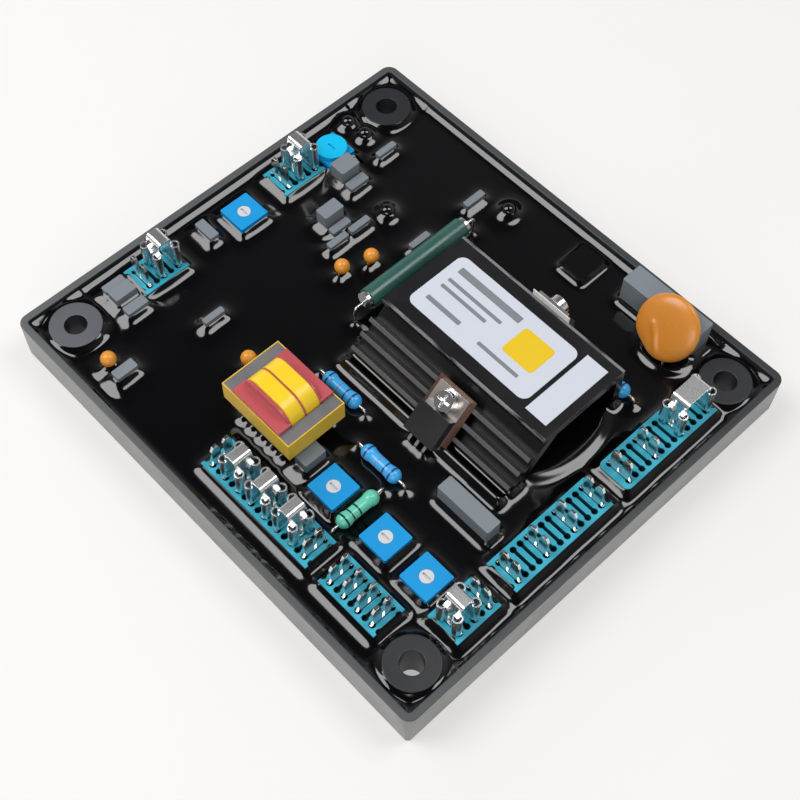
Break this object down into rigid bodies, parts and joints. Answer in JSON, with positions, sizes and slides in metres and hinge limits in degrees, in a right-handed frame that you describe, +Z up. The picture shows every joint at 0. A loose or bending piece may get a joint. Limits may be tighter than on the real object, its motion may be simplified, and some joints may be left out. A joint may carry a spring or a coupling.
{
  "type": "automatic voltage regulator",
  "caption": "Potted generator voltage regulator: a board in a shallow black tray with terminal strips, trimmers, a transformer and a ribbed heat sink.",
  "frame": {"origin": "middle of the tray's underside", "axes": "+X along the long side, +Y along the short side towards the rear, +Z up out of the tray"},
  "size_m": [0.15, 0.135, 0.0289],
  "materials": {
    "tray_plastic": "fine satin",
    "board": "solder mask",
    "resin": "glossy potting",
    "strip_plastic": "moulded",
    "tinned_brass": "tinned",
    "link_sheet": "bright tin",
    "trimmer_plastic": "matt",
    "rotor_plastic": "matt",
    "dial_plastic": "matt",
    "core_steel": "laminated, varnished",
    "core_tape": "adhesive tape",
    "bobbin_plastic": "moulded",
    "coil_tape": "glossy tape",
    "lead_wire": "tinned wire",
    "sink_aluminium": "black anodised, worn edges",
    "label_stock": "smooth",
    "mica": "satin",
    "device_metal": "plated",
    "device_plastic": "moulded",
    "screw_steel": "zinc plated",
    "enamel": "vitreous enamel",
    "blue_lacquer": "lacquer",
    "green_lacquer": "lacquer",
    "disc_coating": "dipped epoxy",
    "capacitor_box": "moulded box",
    "bead_coating": "dipped epoxy"
  },
  "bodies": {
    "regulator": {"tray": "tray_plastic", "circuit_board": "board", "potting": "resin", "terminal_strip_1": "strip_plastic", "terminal_strip_2": "strip_plastic", "terminal_strip_3": "strip_plastic", "terminal_strip_4": "strip_plastic", "terminal_strip_5": "strip_plastic", "terminal_strip_6": "strip_plastic", "terminal_strip_7": "strip_plastic", "tabs_1": "tinned_brass", "tabs_2": "tinned_brass", "tabs_3": "tinned_brass", "tabs_4": "tinned_brass", "tabs_5": "tinned_brass", "tabs_6": "tinned_brass", "tabs_7": "tinned_brass", "links_1": "link_sheet", "link_3": "link_sheet", "link_5": "link_sheet", "link_6": "link_sheet", "link_7": "link_sheet", "trimmer_1": "trimmer_plastic", "trimmer_2": "trimmer_plastic", "trimmer_3": "trimmer_plastic", "trimmer_4": "trimmer_plastic", "trimmer_5": "trimmer_plastic", "transformer_core": "core_steel", "transformer_tape": "core_tape", "transformer_bobbin": "bobbin_plastic", "transformer_windings": "coil_tape", "transformer_pins": "lead_wire", "heat_sink": "sink_aluminium", "rating_label": "label_stock", "serial_label": "label_stock", "insulators": "mica", "device_tabs": "device_metal", "device_bodies": "device_plastic", "device_leads": "lead_wire", "device_washers": "screw_steel", "device_screws": "screw_steel", "wirewound_resistor": "enamel", "wirewound_leads": "lead_wire", "blue_resistors": "blue_lacquer", "green_resistor": "green_lacquer", "resistor_leads": "lead_wire", "disc_suppressor": "disc_coating", "suppressor_leads": "lead_wire", "large_capacitor": "capacitor_box", "front_capacitor": "capacitor_box", "film_capacitors": "capacitor_box", "tantalum_beads": "bead_coating", "small_transistors": "resin", "driver_chip": "device_plastic"},
    "rotor_1_body": {"rotor_1": "rotor_plastic"},
    "rotor_2_body": {"rotor_2": "dial_plastic"},
    "rotor_3_body": {"rotor_3": "rotor_plastic"},
    "rotor_4_body": {"rotor_4": "rotor_plastic"},
    "rotor_5_body": {"rotor_5": "rotor_plastic"}
  },
  "joints": [
    {"name": "rotor_1_turn", "type": "hinge", "parent": "regulator", "child": "rotor_1_body", "pos_m": [-0.0622, 0.0002, 0.0128], "axis": [0, 0, 1], "range_deg": [-135, 135]},
    {"name": "rotor_2_turn", "type": "hinge", "parent": "regulator", "child": "rotor_2_body", "pos_m": [-0.0622, 0.0328, 0.0128], "axis": [0, 0, 1], "range_deg": [-135, 135]},
    {"name": "rotor_3_turn", "type": "hinge", "parent": "regulator", "child": "rotor_3_body", "pos_m": [0.0182, -0.039, 0.0128], "axis": [0, 0, 1], "range_deg": [-135, 135]},
    {"name": "rotor_4_turn", "type": "hinge", "parent": "regulator", "child": "rotor_4_body", "pos_m": [0.037, -0.039, 0.0128], "axis": [0, 0, 1], "range_deg": [-135, 135]},
    {"name": "rotor_5_turn", "type": "hinge", "parent": "regulator", "child": "rotor_5_body", "pos_m": [0.0513, -0.039, 0.0128], "axis": [0, 0, 1], "range_deg": [-135, 135]}
  ]
}
